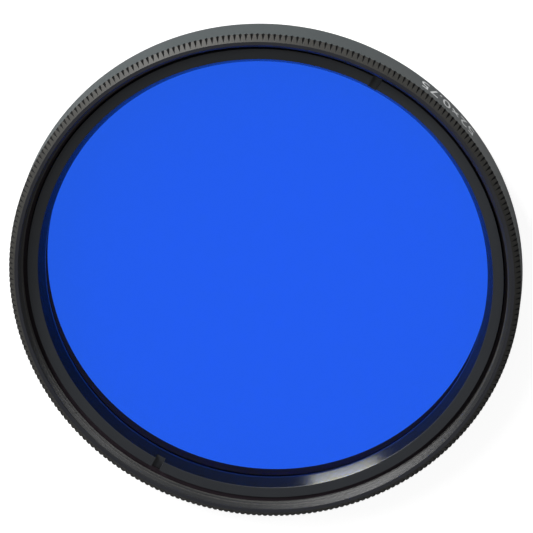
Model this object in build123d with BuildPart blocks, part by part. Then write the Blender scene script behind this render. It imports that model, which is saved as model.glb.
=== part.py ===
# Round colour filter for a camera lens: a turned ring, a glass disc and a threaded retaining ring.
# The optical axis is Z. The male thread points down, the knurled front edge is up, and the origin
# is the centre of the rear end, on which the filter lies.

import os
from math import atan, atan2, cos, hypot, pi, radians, sin, tan

from build123d import *

# Threads. The size of the filter is the size of its male thread and of its female thread
filter_thread_diameter = 52.0
filter_thread_pitch = 0.75
retainer_thread_step = 0.5  # from the nominal radius of the front thread to that of the retaining ring's
retainer_thread_pitch = 0.5
minor_radius_per_pitch = 0.541266  # depth of an ISO metric thread, from crest to crest of its mate
thread_relief_clearance = 0.05

# Filter ring, outside
barrel_wall = 1.0  # outside the nominal radius of the threads
barrel_height = 4.3
barrel_rear_chamfer = 0.12
male_thread_length = 1.7
male_thread_lead = 0.25
male_relief_width = 0.35

# Knurled bevel at the front edge
bevel_width = 0.65
bevel_height = 0.65
knurl_pitch = 0.6
knurl_depth = 0.17
knurl_angle = 90.0
knurl_runout = 0.85  # share of the bevel that the notches cover
knurl_overcut = 0.08

# Filter ring, inside
front_thread_lead = 0.4
front_thread_depth = 1.43  # to the foot of the thread
front_relief_width = 0.52
seat_width = 1.525
bore_rear_chamfer = 0.35

# Glass
glass_thickness = 1.0
glass_clearance = 0.23

# Retaining ring
retainer_recess = 1.35  # its front face, below the front edge
retainer_height = 1.6
retainer_face_width = 1.11
retainer_foot_width = 1.76
retainer_cone_depth = 1.25
retainer_thread_gap = 0.08
slot_width = 1.0
slot_depth = 0.5

# Heights above the rear end
shoulder_z = male_thread_length
front_z = shoulder_z + barrel_height
bevel_base_z = front_z - bevel_height
front_thread_foot_z = front_z - front_thread_depth
front_relief_floor_z = front_thread_foot_z - front_relief_width
retainer_top_z = front_z - retainer_recess
glass_top_z = retainer_top_z - retainer_height
seat_z = glass_top_z - glass_thickness

# Radii, from the outside in
thread_radius = filter_thread_diameter / 2
barrel_radius = thread_radius + barrel_wall
front_relief_radius = thread_radius + thread_relief_clearance
thread_minor_radius = thread_radius - minor_radius_per_pitch * filter_thread_pitch
male_relief_radius = thread_minor_radius - thread_relief_clearance
retainer_thread_radius = thread_radius - retainer_thread_step
retainer_thread_wall = retainer_thread_radius - minor_radius_per_pitch * retainer_thread_pitch
retainer_radius = retainer_thread_wall - retainer_thread_gap
retainer_face_radius = retainer_radius - retainer_face_width
retainer_foot_radius = retainer_radius - retainer_foot_width
glass_radius = retainer_thread_wall - glass_clearance
clear_radius = glass_radius - seat_width

# The notches of the knurl: V grooves that start deep at the barrel and run out on the bevel
knurl_count = round(2 * pi * barrel_radius / knurl_pitch)
bevel_slant = hypot(bevel_width, bevel_height)
bevel_lean = atan2(bevel_width, bevel_height)  # of the bevel from the axis
knurl_rise = atan(knurl_depth / (bevel_slant * knurl_runout))
knurl_lean = bevel_lean - knurl_rise  # of the groove's bottom line from the axis
knurl_reach = bevel_slant  # past the bevel's base and past its top
cutter_height = knurl_depth + knurl_overcut
cutter_half_width = cutter_height * tan(radians(knurl_angle / 2))

with BuildPart() as knurl_cutter:
    along = Vector(-sin(knurl_lean), 0, cos(knurl_lean))
    outward = Vector(cos(knurl_lean), 0, sin(knurl_lean))
    bottom = Vector(barrel_radius, 0, bevel_base_z) - outward * knurl_depth
    with BuildSketch(Plane(origin=bottom - along * knurl_reach, x_dir=outward, z_dir=along)):
        with BuildLine():
            Polyline(
                (0, 0),
                (cutter_height, cutter_half_width),
                (cutter_height, -cutter_half_width),
                close=True,
            )
        make_face()
    extrude(amount=bevel_slant + 2 * knurl_reach)

with BuildPart() as filter_ring:
    with BuildSketch(Plane.XZ):
        with BuildLine():
            Polyline(
                (clear_radius + bore_rear_chamfer, 0),
                (thread_radius - male_thread_lead, 0),
                (thread_radius, male_thread_lead),
                (thread_radius, shoulder_z - male_relief_width),
                (male_relief_radius, shoulder_z - male_relief_width),
                (male_relief_radius, shoulder_z),
                (barrel_radius - barrel_rear_chamfer, shoulder_z),
                (barrel_radius, shoulder_z + barrel_rear_chamfer),
                (barrel_radius, bevel_base_z),
                (barrel_radius - bevel_width, front_z),
                (thread_minor_radius + front_thread_lead, front_z),
                (thread_minor_radius, front_z - front_thread_lead),
                (thread_minor_radius, front_thread_foot_z),
                (front_relief_radius, front_thread_foot_z),
                (front_relief_radius, front_relief_floor_z),
                (retainer_thread_wall, front_relief_floor_z),
                (retainer_thread_wall, seat_z),
                (clear_radius, seat_z),
                (clear_radius, bore_rear_chamfer),
                close=True,
            )
        make_face()
    revolve(axis=Axis.Z)
    with PolarLocations(0, knurl_count):
        add(knurl_cutter.part, mode=Mode.SUBTRACT)

with BuildPart() as filter_glass:
    with BuildSketch(Plane.XY.offset(seat_z)):
        Circle(glass_radius)
    extrude(amount=glass_thickness)

with BuildPart() as retaining_ring:
    with BuildSketch(Plane.XZ):
        with BuildLine():
            Polyline(
                (retainer_foot_radius, glass_top_z),
                (retainer_radius, glass_top_z),
                (retainer_radius, retainer_top_z),
                (retainer_face_radius, retainer_top_z),
                (retainer_foot_radius, retainer_top_z - retainer_cone_depth),
                close=True,
            )
        make_face()
    revolve(axis=Axis.Z)
    with BuildSketch(Plane.XY.offset(retainer_top_z)):
        Rectangle(2 * retainer_thread_radius, slot_width)
    extrude(amount=-slot_depth, mode=Mode.SUBTRACT)

filter_ring.part.label = "filter_ring"
filter_glass.part.label = "filter_glass"
retaining_ring.part.label = "retaining_ring"

os.makedirs("parts", exist_ok=True)
export_step(filter_ring.part, "parts/filter_ring.step")
export_step(filter_glass.part, "parts/filter_glass.step")
export_step(retaining_ring.part, "parts/retaining_ring.step")
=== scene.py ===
import math

import bmesh
import bpy
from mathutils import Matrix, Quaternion, Vector


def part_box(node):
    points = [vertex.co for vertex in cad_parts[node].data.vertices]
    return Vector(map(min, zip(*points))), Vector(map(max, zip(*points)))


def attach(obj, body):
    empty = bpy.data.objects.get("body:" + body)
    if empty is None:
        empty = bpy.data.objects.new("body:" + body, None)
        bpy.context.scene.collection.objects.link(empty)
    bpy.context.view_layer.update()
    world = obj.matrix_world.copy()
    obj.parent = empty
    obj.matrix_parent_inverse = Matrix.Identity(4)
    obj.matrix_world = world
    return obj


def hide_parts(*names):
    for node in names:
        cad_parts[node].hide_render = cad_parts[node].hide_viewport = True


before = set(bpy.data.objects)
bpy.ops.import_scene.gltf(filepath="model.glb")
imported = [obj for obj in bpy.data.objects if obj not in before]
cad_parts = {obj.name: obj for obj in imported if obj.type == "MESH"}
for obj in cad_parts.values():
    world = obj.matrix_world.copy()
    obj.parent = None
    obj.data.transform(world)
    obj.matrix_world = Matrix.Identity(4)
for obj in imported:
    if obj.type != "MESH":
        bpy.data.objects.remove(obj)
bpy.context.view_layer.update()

mm = 0.001
fullTurn = 2 * math.pi
weld = 1e-6  # metres, points closer than this are one
sharpAngle = math.radians(12)  # faces that meet at more than this keep a sharp edge
ringSteps = 566  # round the filter ring, two for each notch of the knurl
discSteps = 360  # round the retaining ring and the glass

# Places that the frame gives: front edge, outer wall, glass and retaining ring
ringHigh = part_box("filter_ring")[1]
glassLow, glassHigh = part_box("filter_glass")
clampLow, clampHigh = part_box("retaining_ring")
frontZ = ringHigh.z
barrelR = ringHigh.x


def weldPoints(bm):
    bmesh.ops.remove_doubles(bm, verts=bm.verts, dist=weld)


def wireChain(bm, points):
    # a chain of edges in the XZ plane, from (radius, height) pairs in metres
    verts = [bm.verts.new((r, 0, z)) for r, z in points]
    for pair in zip(verts, verts[1:]):
        bm.edges.new(pair)


def softenCorners(bm, size):
    corners = [v for v in bm.verts if len(v.link_edges) == 2]
    bmesh.ops.bevel(bm, geom=corners, offset=size, offset_type="OFFSET", segments=2,
                    profile=0.5, affect="VERTICES", material=-1)


def spin(bm, angle, steps, rise=0.0, **options):
    # everything that is in the bmesh, round the optical axis, with a rise a step
    bmesh.ops.spin(bm, geom=bm.verts[:] + bm.edges[:] + bm.faces[:], cent=(0, 0, 0),
                   axis=(0, 0, 1), dvec=(0, 0, rise), angle=angle, steps=steps, **options)


def turned(points, steps, cornerSize=0.0, closed=False):
    # a lathe: the outline is spun round the optical axis
    bm = bmesh.new()
    wireChain(bm, points + points[:1] if closed else points)
    weldPoints(bm)
    if cornerSize:
        softenCorners(bm, cornerSize)
    spin(bm, fullTurn, steps, use_merge=True)
    return bm


def meshFrom(name, bm):
    mesh = bpy.data.meshes.new(name)
    bm.to_mesh(mesh)
    bm.free()
    return mesh


def joined(parts):
    # several bmeshes as one, with the borders that meet welded
    whole = bmesh.new()
    for part in parts:
        mesh = meshFrom("joining", part)
        whole.from_mesh(mesh)
        bpy.data.meshes.remove(mesh)
    weldPoints(whole)
    return whole


def bridgeAcross(bm, lowZ, highZ, lowR, highR):
    # closes the gap between the two open borders that lie within these heights and radii
    slack = 3 * weld

    def lies(vert):
        r = math.hypot(vert.co.x, vert.co.y)
        return lowZ - slack < vert.co.z < highZ + slack and lowR - slack < r < highR + slack

    borders = [e for e in bm.edges if e.is_boundary and lies(e.verts[0]) and lies(e.verts[1])]
    bmesh.ops.bridge_loops(bm, edges=borders)


def placed(name, data):
    thing = bpy.data.objects.new(name, data)
    bpy.context.scene.collection.objects.link(thing)
    return thing


def evaluatedMesh(thing):
    # what an object's modifiers or its letters make of it
    bpy.context.view_layer.update()
    live = thing.evaluated_get(bpy.context.evaluated_depsgraph_get())
    return bpy.data.meshes.new_from_object(live)


def finished(name, bm, nodes, finishes, regionOf=None):
    # finishes holds a material for each region, and regionOf names a face's region from the
    # radius and height of its middle
    bmesh.ops.recalc_face_normals(bm, faces=bm.faces)
    if regionOf:
        regions = list(finishes)
        for face in bm.faces:
            middle = face.calc_center_median()
            region = regionOf(math.hypot(middle.x, middle.y), middle.z)
            face.material_index = regions.index(region)
    mesh = meshFrom(name, bm)
    for face in mesh.polygons:
        face.use_smooth = True
    mesh.set_sharp_from_angle(angle=sharpAngle)
    for material in finishes.values():
        mesh.materials.append(material)
    piece = placed(name, mesh)
    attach(piece, "root")
    if nodes:
        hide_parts(*nodes)
    print(name, len(mesh.polygons), "faces")
    return piece


def colour(red, green, blue):
    return (red, green, blue, 1)


def grey(level):
    return colour(level, level, level)


class Wire:
    # one output socket, so that shader maths reads as plain arithmetic
    def __init__(self, finish, socket):
        self.finish = finish
        self.socket = socket

    def maths(self, operation, first, second):
        return self.finish.node("ShaderNodeMath", {"operation": operation}, {0: first, 1: second})

    def __add__(self, other):
        return self.maths("ADD", self, other)

    def __sub__(self, other):
        return self.maths("SUBTRACT", self, other)

    def __rsub__(self, other):
        return self.maths("SUBTRACT", other, self)

    def __mul__(self, other):
        return self.maths("MULTIPLY", self, other)

    __radd__ = __add__
    __rmul__ = __mul__


class Finish:
    # the nodes of a material or of the world
    def __init__(self, owner):
        owner.use_nodes = True
        self.owner = owner
        self.tree = owner.node_tree
        self.tree.nodes.clear()

    def node(self, kind, settings, sockets, output=0):
        made = self.tree.nodes.new(kind)
        for key, value in settings.items():
            if key == "stops":  # of a ramp: the places and grey levels of its two ends
                for stop, (place, level) in zip(made.color_ramp.elements, value):
                    stop.position = place
                    stop.color = grey(level)
            else:
                setattr(made, key, value)
        for key, value in sockets.items():
            if isinstance(value, Wire):
                self.tree.links.new(value.socket, made.inputs[key])
            else:
                made.inputs[key].default_value = value
        return Wire(self, made.outputs[output]) if len(made.outputs) else None

    def ramp(self, factor, stops):
        return self.node("ShaderNodeValToRGB", {"stops": stops}, {0: factor})

    def blend(self, factor, first, second):
        return self.node("ShaderNodeMix", {"data_type": "RGBA"},
                         {0: factor, 6: first, 7: second}, output=2)

    def noise(self, place, size, detail, roughness=0.5):
        return self.node("ShaderNodeTexNoise", {}, {
            "Vector": place, "Scale": 1 / size, "Detail": detail, "Roughness": roughness})

    def onPiece(self):
        return self.node("ShaderNodeTexCoord", {}, {}, output="Object")

    def ray(self, kind):
        return self.node("ShaderNodeLightPath", {}, {}, output=f"Is {kind} Ray")

    def out(self, shader, kind="ShaderNodeOutputMaterial"):
        self.node(kind, {}, {0: shader})
        return self.owner


def radiusAndHeight(finish, place):
    flat = finish.node("ShaderNodeVectorMath", {"operation": "MULTIPLY"}, {0: place, 1: (1, 1, 0)})
    radius = finish.node("ShaderNodeVectorMath", {"operation": "LENGTH"}, {0: flat}, output="Value")
    return radius, finish.node("ShaderNodeSeparateXYZ", {}, {0: place}, output="Z")


# Black anodise on turned aluminium: what the kinds of surface share, and each changes some of
anodise = {
    "dye": colour(0.016, 0.017, 0.019),
    "fadedDye": colour(0.023, 0.024, 0.025),
    "cloud": 5 * mm,  # size of the faded patches
    "worn": colour(0.20, 0.19, 0.17),
    "wornMetal": 0.1,
    "wearPatches": [(0.40, 0.35), (0.60, 1.0)],
    "roughness": 0.36,
    "roughnessSpread": 0.10,
    "turningSpread": 0.06,  # of the roughness, along the turning marks
    "turningPitch": 0.06 * mm,
    "turningDepth": 0.0010 * mm,
    "grain": 0.10 * mm,
    "grainDepth": 0.0012 * mm,
    "index": 1.55,
    "sheen": grey(1),  # tint of what it reflects
}


def turnedAnodise(name, look, wearOf=None):
    # wearOf gives the share of wear, from the sockets of radius and height
    finish = Finish(bpy.data.materials.new(name))
    place = finish.onPiece()
    radius, height = radiusAndHeight(finish, place)
    # rings that run round the axis: their noise sees only radius and height
    density = 1 / look["turningPitch"]
    across = finish.node("ShaderNodeCombineXYZ", {}, {"X": radius * density, "Y": height * density})
    rings = finish.noise(across, 1.0, detail=3.0, roughness=0.6)
    grain = finish.noise(place, look["grain"], detail=4.0, roughness=0.7)
    cloud = finish.noise(place, look["cloud"], detail=3.0)
    marks = rings * look["turningDepth"] + grain * look["grainDepth"]
    bump = finish.node("ShaderNodeBump", {}, {"Strength": 1.0, "Distance": 1.0, "Height": marks})
    tint = finish.blend(cloud, look["dye"], look["fadedDye"])
    metal = 0.0
    if wearOf:
        wear = wearOf(finish, radius, height) * finish.ramp(grain, look["wearPatches"])
        tint = finish.blend(wear, tint, look["worn"])
        metal = wear * look["wornMetal"]
    rough = (look["roughness"] + (cloud - 0.5) * look["roughnessSpread"]
             + (rings - 0.5) * look["turningSpread"])
    return finish.out(finish.node("ShaderNodeBsdfPrincipled", {}, {
        "Base Color": tint, "Metallic": metal, "Roughness": rough, "IOR": look["index"],
        "Specular Tint": look["sheen"], "Normal": bump}))


def towards(azimuth, elevation):
    around, above = math.radians(azimuth), math.radians(elevation)
    return Vector((math.cos(around) * math.cos(above), math.sin(around) * math.cos(above),
                   math.sin(above)))


# The camera, at the photograph's viewing angle
cameraPlace = {
    "target": (1.29 * mm, 0.41 * mm, 5.23 * mm),
    "distance": 600 * mm,
    "azimuth": 14.6,
    "elevation": 69.07,
    "roll": -165.87,
    "lens": 386.08,
    "sensor": 36,
    "nearest": 0.01,  # metres, nothing nearer is seen
}


def makeCamera(place):
    back = towards(place["azimuth"], place["elevation"])
    data = bpy.data.cameras.new("camera")
    data.lens = place["lens"]
    data.sensor_width = place["sensor"]
    data.clip_start = place["nearest"]
    camera = placed("camera", data)
    camera.location = Vector(place["target"]) + back * place["distance"]
    camera.rotation_mode = "QUATERNION"
    roll = Quaternion((0, 0, 1), math.radians(place["roll"]))
    camera.rotation_quaternion = back.to_track_quat("Z", "Y") @ roll
    bpy.context.scene.camera = camera


makeCamera(cameraPlace)
print("camera")


# Filter ring: turned body, knurled bevel and two threads in one piece
ringCut = {
    "edge": 0.03 * mm,
    "barrelRearChamfer": 0.12 * mm,
    "shoulder": 1.7 * mm,  # above the rear end
    "maleReliefWidth": 0.35 * mm,
    "maleReliefR": 25.53 * mm,
    "threadFoot": 1.88 * mm,  # below the front edge
    "reliefWidth": 0.07 * mm,
    "reliefR": 26.05 * mm,
    "retainerWallR": 25.229 * mm,
    "clearR": 23.474 * mm,
    "boreChamfer": 0.35 * mm,
    "rearFaceR": 25.45 * mm,
    "frontFaceInnerR": 26.06 * mm,
    # limits between the regions of its finish
    "faceLimit": 0.002 * mm,
    "bevelLimit": 0.01 * mm,
    "landLimit": 0.012 * mm,
    "outsideLimitR": 26.2 * mm,
    "threadLimitR": 25.5 * mm,
}
knurl = {
    "count": ringSteps // 2,
    "bevel": 0.65 * mm,
    "depth": 0.17 * mm,
    "runout": 0.85,  # share of the bevel that a notch covers
    "halfAngle": 45,
    "stripBelow": 0.45 * mm,  # barrel that is made with the notches
    "crestRound": 0.022 * mm,
    "wearDepth": 0.05 * mm,
}
threadForm = {
    "pitch": 0.75 * mm,
    "majorR": 26.0 * mm,
    "minorR": 25.594 * mm,
    "maleRootR": 25.56 * mm,
    "frontLead": 0.40 * mm,
    "rearLead": 0.25 * mm,
    "crest": 1 / 8,  # share of the pitch that is flat
    "root": 1 / 4,
    "slices": 4,  # rows on each flank and flat
    "startBelow": 1.4,  # turns below the lower end, which are cut off again
    "spareTurns": 3,
    "wear": 0.25,
    "wearDepth": 0.12 * mm,
}


def knurlTooth(cut):
    # one notch and the half lands beside it, between the barrel and the front edge
    half = math.pi / cut["count"]
    baseZ = frontZ - cut["bevel"]
    slant = cut["bevel"] * math.sqrt(2)
    lean = math.pi / 4 - math.atan(cut["depth"] / (slant * cut["runout"]))
    inner = barrelR - cut["bevel"]
    # where the groove's bottom line leaves the barrel and the bevel
    bottomR = barrelR - cut["depth"] * math.cos(lean)
    bottomZ = baseZ - cut["depth"] * math.sin(lean)
    tipZ = bottomZ - (barrelR - bottomR) / math.tan(lean)
    runR = barrelR - cut["bevel"] * cut["runout"]
    runZ = baseZ + cut["bevel"] * cut["runout"]
    side = cut["depth"] * math.tan(math.radians(cut["halfAngle"])) / barrelR

    bm = bmesh.new()

    def spot(r, turn, z):
        return bm.verts.new((r * math.cos(turn), r * math.sin(turn), z))

    lowZ = baseZ - cut["stripBelow"]
    low = [spot(barrelR, a, lowZ) for a in (-half, 0, half)]
    tip = spot(barrelR, 0, tipZ)
    base = [spot(barrelR, a, baseZ) for a in (-half, -side, side, half)]
    run = spot(runR, 0, runZ)
    top = [spot(inner, a, frontZ) for a in (-half, 0, half)]
    bm.faces.new((low[0], low[1], tip, base[1], base[0]))
    bm.faces.new((low[1], low[2], base[3], base[2], tip))
    bm.faces.new((base[0], base[1], run, top[1], top[0]))
    bm.faces.new((base[2], base[3], top[2], top[1], run))
    bm.faces.new((tip, run, base[1]))
    bm.faces.new((tip, base[2], run))
    rim = (tip, base[1], run, base[2], tip)
    bmesh.ops.bevel(bm, geom=[bm.edges.get(pair) for pair in zip(rim, rim[1:])],
                    offset=cut["crestRound"], offset_type="OFFSET", segments=2, profile=0.5,
                    affect="EDGES", material=-1, clamp_overlap=True)
    return bm


def knurlRing(cut):
    bm = knurlTooth(cut)
    spin(bm, fullTurn, cut["count"], use_duplicate=True)
    weldPoints(bm)
    return bm


def threadWall(form, lowZ, highZ, rootR, crestR, keepRadius):
    # a thread's surface between two heights: its section is spun with a rise of one pitch a
    # turn, first over half a turn, which is then copied for the other half
    pitch = form["pitch"]
    flank = (1 - form["crest"] - form["root"]) / 2
    corners = [(0, rootR), (form["root"], rootR), (form["root"] + flank, crestR),
               (form["root"] + flank + form["crest"], crestR)]
    turns = math.ceil((highZ - lowZ) / pitch) + form["spareTurns"]
    points = [(r, lowZ + (turn - form["startBelow"] + share) * pitch)
              for turn in range(turns) for share, r in corners]
    bm = bmesh.new()
    wireChain(bm, points)
    bmesh.ops.subdivide_edges(bm, edges=bm.edges, cuts=form["slices"] - 1)
    spin(bm, fullTurn / 2, ringSteps // 2, rise=pitch / ringSteps)
    spin(bm, fullTurn / 2, 1, rise=pitch / 2, use_duplicate=True)
    weldPoints(bm)
    for z, way in ((highZ, 1), (lowZ, -1)):
        bmesh.ops.bisect_plane(bm, geom=bm.verts[:] + bm.edges[:] + bm.faces[:], dist=weld,
                               plane_co=(0, 0, z), plane_no=(0, 0, way), clear_outer=True)
    for vert in bm.verts:  # the lead chamfer cuts the crests
        r = math.hypot(vert.co.x, vert.co.y)
        kept = keepRadius(r, vert.co.z)
        vert.co.x *= kept / r
        vert.co.y *= kept / r
    return bm


def frontLead(r, z):
    return max(r, threadForm["minorR"] + threadForm["frontLead"] - (frontZ - z))


def rearLead(r, z):
    return min(r, threadForm["majorR"] - threadForm["rearLead"] + z)


def filterRing(cut, teeth, form):
    stripZ = frontZ - teeth["bevel"] - teeth["stripBelow"]
    shoulderZ = cut["shoulder"]
    reliefZ = shoulderZ - cut["maleReliefWidth"]
    footZ = frontZ - cut["threadFoot"]
    floorZ = footZ - cut["reliefWidth"]
    seatZ = glassLow.z
    outside = turned([
        (barrelR, stripZ),
        (barrelR, shoulderZ + cut["barrelRearChamfer"]),
        (barrelR - cut["barrelRearChamfer"], shoulderZ),
        (cut["maleReliefR"], shoulderZ),
        (cut["maleReliefR"], reliefZ + cut["edge"]),
    ], ringSteps, cut["edge"])
    inside = turned([
        (cut["rearFaceR"], 0),
        (cut["clearR"] + cut["boreChamfer"], 0),
        (cut["clearR"], cut["boreChamfer"]),
        (cut["clearR"], seatZ),
        (cut["retainerWallR"], seatZ),
        (cut["retainerWallR"], floorZ),
        (cut["reliefR"], floorZ),
        (cut["reliefR"], footZ),
    ], ringSteps, cut["edge"])
    face = turned([(cut["frontFaceInnerR"], frontZ), (barrelR - teeth["bevel"], frontZ)], ringSteps)
    male = threadWall(form, 0, reliefZ, form["maleRootR"], form["majorR"], rearLead)
    female = threadWall(form, footZ, frontZ, form["majorR"], form["minorR"], frontLead)
    bm = joined([outside, inside, face, knurlRing(teeth), male, female])
    bridgeAcross(bm, reliefZ, reliefZ + cut["edge"], cut["maleReliefR"], form["majorR"])
    bridgeAcross(bm, 0, 0, cut["rearFaceR"], form["majorR"])
    bridgeAcross(bm, footZ, footZ, form["minorR"], cut["reliefR"])
    bridgeAcross(bm, frontZ, frontZ, form["minorR"], cut["frontFaceInnerR"])
    print("open edges left on the ring:", sum(e.is_boundary for e in bm.edges))
    return bm


def ringRegion(r, z):
    cut = ringCut
    bevelBase = frontZ - knurl["bevel"]
    if z > frontZ - cut["faceLimit"]:
        return "front face"
    if z > bevelBase - knurl["stripBelow"] and r > barrelR - knurl["bevel"] - cut["bevelLimit"]:
        if min(barrelR - r, barrelR + bevelBase - r - z) > cut["landLimit"]:
            return "notches"
        return "lands" if z > bevelBase - cut["bevelLimit"] else "barrel"
    if z > cut["shoulder"] - cut["faceLimit"] and r > cut["outsideLimitR"]:
        return "barrel"
    isThread = r > cut["threadLimitR"] and (z > frontZ - cut["threadFoot"] or z < cut["shoulder"])
    return "threads" if isThread else "inside"


def landWear(finish, radius, height):
    # the lands lie on the bevel's cone, where radius and height add up to what they do at its base
    below = (barrelR + frontZ - knurl["bevel"]) - (radius + height)
    return finish.ramp(below * (1 / knurl["wearDepth"]), [(0.0, 1.0), (1.0, 0.0)])


def crestWear(finish, radius, height):
    crest = (radius - threadForm["minorR"]) * (1 / threadForm["wearDepth"])
    return finish.ramp(crest, [(0.0, threadForm["wear"]), (1.0, 0.0)])


ringFinishes = {
    "barrel": turnedAnodise("barrel anodise", {
        **anodise, "dye": colour(0.020, 0.029, 0.031), "fadedDye": colour(0.028, 0.039, 0.041),
        "roughness": 0.38, "index": 1.6}),
    "lands": turnedAnodise("knurl anodise", {
        **anodise, "worn": colour(0.045, 0.043, 0.037), "roughness": 0.56, "index": 1.4}, landWear),
    # the near-black dye of the notches is painted shade: the recesses of the knurl are darkened in
    # colour where shade falls
    "notches": turnedAnodise("notch anodise with painted shade", {
        **anodise, "dye": grey(0.003), "fadedDye": grey(0.005), "roughness": 0.6, "index": 1.3}),
    "front face": turnedAnodise("front face anodise", {
        **anodise, "dye": colour(0.019, 0.020, 0.026), "fadedDye": colour(0.027, 0.028, 0.034)}),
    "threads": turnedAnodise("thread anodise", {
        **anodise, "roughness": 0.32, "grain": 0.36 * mm, "grainDepth": 0.035 * mm}, crestWear),
    "inside": turnedAnodise("inner wall anodise", {
        **anodise, "dye": colour(0.034, 0.024, 0.032), "fadedDye": colour(0.046, 0.032, 0.042),
        "roughness": 0.5, "index": 1.45}),
}
finished("ring_body", filterRing(ringCut, knurl, threadForm), ["filter_ring"],
         ringFinishes, ringRegion)


# Retaining ring: a turned ring with a funnel and two spanner slots
clamp = {
    "edge": 0.03 * mm,
    "outerR": 25.149 * mm,
    "faceR": 24.039 * mm,
    "footR": 23.389 * mm,
    "funnelDepth": 1.25 * mm,
    "slotWidth": 1.0 * mm,
    "slotDepth": 0.5 * mm,
    "faceLimit": 0.01 * mm,  # between the finishes of its face and its funnel
}


def cutSlots(piece, cut):
    # one bar across the whole ring cuts both
    bm = bmesh.new()
    bmesh.ops.create_cube(bm, size=1)
    bar = (4 * cut["outerR"], cut["slotWidth"], 2 * cut["slotDepth"])
    bmesh.ops.scale(bm, vec=bar, verts=bm.verts)
    bmesh.ops.translate(bm, vec=(0, 0, clampHigh.z), verts=bm.verts)
    mesh = meshFrom("slot cutter", bm)
    cutter = placed("slot cutter", mesh)
    tool = piece.modifiers.new("slots", "BOOLEAN")
    tool.object = cutter
    tool.operation = "DIFFERENCE"
    tool.solver = "EXACT"
    cutMesh = evaluatedMesh(piece)
    piece.modifiers.clear()
    plainMesh = piece.data
    piece.data = cutMesh
    bpy.data.meshes.remove(plainMesh)
    bpy.data.objects.remove(cutter)
    bpy.data.meshes.remove(mesh)
    cutMesh.set_sharp_from_angle(angle=sharpAngle)


def retainingRing(cut):
    return turned([
        (cut["footR"], clampLow.z),
        (cut["outerR"], clampLow.z),
        (cut["outerR"], clampHigh.z),
        (cut["faceR"], clampHigh.z),
        (cut["footR"], clampHigh.z - cut["funnelDepth"]),
    ], discSteps, cut["edge"], closed=True)


def clampRegion(r, z):
    return "funnel" if r < clamp["faceR"] - clamp["faceLimit"] else "face"


clampFinishes = {
    "face": turnedAnodise("clamp anodise", {
        **anodise, "dye": colour(0.024, 0.027, 0.032), "fadedDye": colour(0.031, 0.034, 0.039)}),
    "funnel": turnedAnodise("funnel anodise", {
        **anodise, "dye": colour(0.003, 0.004, 0.008), "fadedDye": colour(0.004, 0.005, 0.010),
        "roughness": 0.17, "roughnessSpread": 0.04, "turningDepth": 0.0004 * mm,
        "grain": 0.3 * mm, "grainDepth": 0.004 * mm, "index": 1.47,
        "sheen": colour(0.95, 0.93, 0.62)}),
}
clampPiece = finished("clamp_ring", retainingRing(clamp), ["retaining_ring"],
                      clampFinishes, clampRegion)
cutSlots(clampPiece, clamp)


# Glass: a polished disc, dyed through
glass = {
    "edge": 0.12 * mm,
    "tint": colour(0.0112, 0.1015, 0.765),
    "index": 1.52,
}


def glassDisc(cut):
    bm = bmesh.new()
    bmesh.ops.create_circle(bm, cap_ends=True, segments=discSteps, radius=glassHigh.x)
    bmesh.ops.translate(bm, vec=(0, 0, glassLow.z), verts=bm.verts)
    grown = bmesh.ops.extrude_face_region(bm, geom=bm.faces[:])
    bmesh.ops.translate(bm, vec=(0, 0, glassHigh.z - glassLow.z),
                        verts=[v for v in grown["geom"] if isinstance(v, bmesh.types.BMVert)])
    rims = [e for e in bm.edges if abs(e.verts[0].co.z - e.verts[1].co.z) < weld]
    bmesh.ops.bevel(bm, geom=rims, offset=cut["edge"], offset_type="OFFSET", segments=1,
                    profile=0.5, affect="EDGES", material=-1)
    return bm


def blueGlass(look):
    finish = Finish(bpy.data.materials.new("blue glass"))
    return finish.out(finish.node("ShaderNodeBsdfPrincipled", {}, {
        "Base Color": look["tint"], "Roughness": 0.0, "IOR": look["index"],
        "Transmission Weight": 1.0}))


finished("glass_disc", glassDisc(glass), ["filter_glass"],
         {"glass": blueGlass(glass)})


# White size numbers printed on the barrel
mark = {
    "text": "52×0.75",
    "height": 1.7 * mm,
    "capShare": 0.7,  # height of the numbers as a share of the type size
    "middle": -17.5,  # degrees round the barrel
    "middleZ": 3.3 * mm,
    "proud": 0.006 * mm,
    "longestEdge": 0.3 * mm,  # longer ones are cut, so that the numbers follow the barrel
    "ink": colour(0.82, 0.83, 0.83),
    "thinInk": colour(0.62, 0.64, 0.64),
    "blot": 0.25 * mm,
    "roughness": 0.55,
}


def printedMark(look):
    curve = bpy.data.curves.new("mark", "FONT")
    curve.body = look["text"]
    curve.size = look["height"] / look["capShare"]
    curve.align_x = "CENTER"
    curve.align_y = "CENTER"
    curve.extrude = look["proud"]  # as far into the barrel as out of it
    writing = placed("mark", curve)
    mesh = evaluatedMesh(writing)
    bpy.data.objects.remove(writing)
    bpy.data.curves.remove(curve)
    bm = bmesh.new()
    bm.from_mesh(mesh)
    bpy.data.meshes.remove(mesh)
    weldPoints(bm)
    bmesh.ops.triangulate(bm, faces=bm.faces)
    longEdges = [e for e in bm.edges if e.calc_length() > look["longestEdge"]]
    bmesh.ops.subdivide_edges(bm, edges=longEdges, cuts=2)
    print("open edges left on the mark:", sum(not e.is_manifold for e in bm.edges))
    for vert in bm.verts:
        turn = math.radians(look["middle"]) + vert.co.x / barrelR
        r = barrelR + vert.co.z
        vert.co = (r * math.cos(turn), r * math.sin(turn), look["middleZ"] + vert.co.y)
    return bm


def whiteInk(look):
    finish = Finish(bpy.data.materials.new("white ink"))
    blots = finish.noise(finish.onPiece(), look["blot"], detail=2.0)
    tint = finish.blend(blots, look["thinInk"], look["ink"])
    return finish.out(finish.node("ShaderNodeBsdfPrincipled", {}, {
        "Base Color": tint, "Roughness": look["roughness"]}))


finished("size_mark", printedMark(mark), [], {"ink": whiteInk(mark)})


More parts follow.
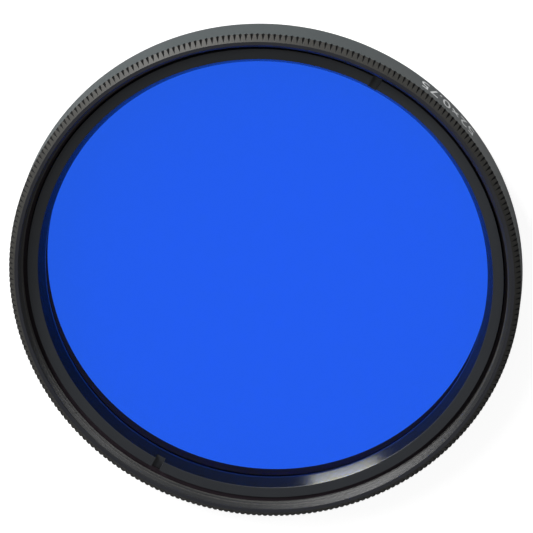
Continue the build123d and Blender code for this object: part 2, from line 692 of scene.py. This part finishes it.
# Floor and light
studio = {
    "floorSize": 4.0,
    "floorTone": 0.5,
    "floorGlow": 0.86,  # what the camera sees on top of the lit floor
    "floorShine": 0.05,  # what the ring reflects on top of it
    "floorThrough": 1.0,  # what is seen through the glass on top of it
    "worldLevel": 0.15,
}
panels = {
    "left panel": {"azimuth": 61.3, "elevation": 16, "distance": 0.7,
                   "size": (0.28, 0.22), "power": 7.0},
    "high panel": {"azimuth": 74, "elevation": 45, "distance": 1.2,
                   "size": (0.45, 0.5), "power": 4.5},
    "right panel": {"azimuth": -31, "elevation": 45, "distance": 1.2,
                    "size": (0.25, 0.3), "power": 1.6},
}


def makeFloor(look):
    bm = bmesh.new()
    bmesh.ops.create_grid(bm, x_segments=1, y_segments=1, size=look["floorSize"] / 2)
    mesh = meshFrom("floor", bm)
    floor = placed("floor", mesh)
    finish = Finish(bpy.data.materials.new("floor"))
    level = (finish.ray("Camera") * look["floorGlow"]
             + finish.ray("Transmission") * look["floorThrough"]
             + finish.ray("Glossy") * look["floorShine"])
    glow = finish.node("ShaderNodeEmission", {}, {"Color": grey(1), "Strength": level})
    lit = finish.node("ShaderNodeBsdfDiffuse", {}, {"Color": grey(look["floorTone"])})
    mesh.materials.append(finish.out(finish.node("ShaderNodeAddShader", {}, {0: lit, 1: glow})))


def makeWorld(look):
    # white to the camera, dim to everything else
    world = bpy.data.worlds.new("studio")
    bpy.context.scene.world = world
    finish = Finish(world)
    dim = finish.node("ShaderNodeBackground", {}, {"Color": grey(1), "Strength": look["worldLevel"]})
    white = finish.node("ShaderNodeBackground", {}, {"Color": grey(1)})
    mix = finish.node("ShaderNodeMixShader", {}, {0: finish.ray("Camera"), 1: dim, 2: white})
    finish.out(mix, "ShaderNodeOutputWorld")


def softbox(name, panel):
    data = bpy.data.lights.new(name, "AREA")
    data.shape = "RECTANGLE"
    data.size, data.size_y = panel["size"]
    data.energy = panel["power"]
    lamp = placed(name, data)
    away = towards(panel["azimuth"], panel["elevation"])
    lamp.location = away * panel["distance"]
    lamp.rotation_mode = "QUATERNION"
    lamp.rotation_quaternion = away.to_track_quat("Z", "Y")


bpy.context.scene.view_settings.view_transform = "Standard"
makeFloor(studio)
makeWorld(studio)
for name, panel in panels.items():
    softbox(name, panel)
print("studio")
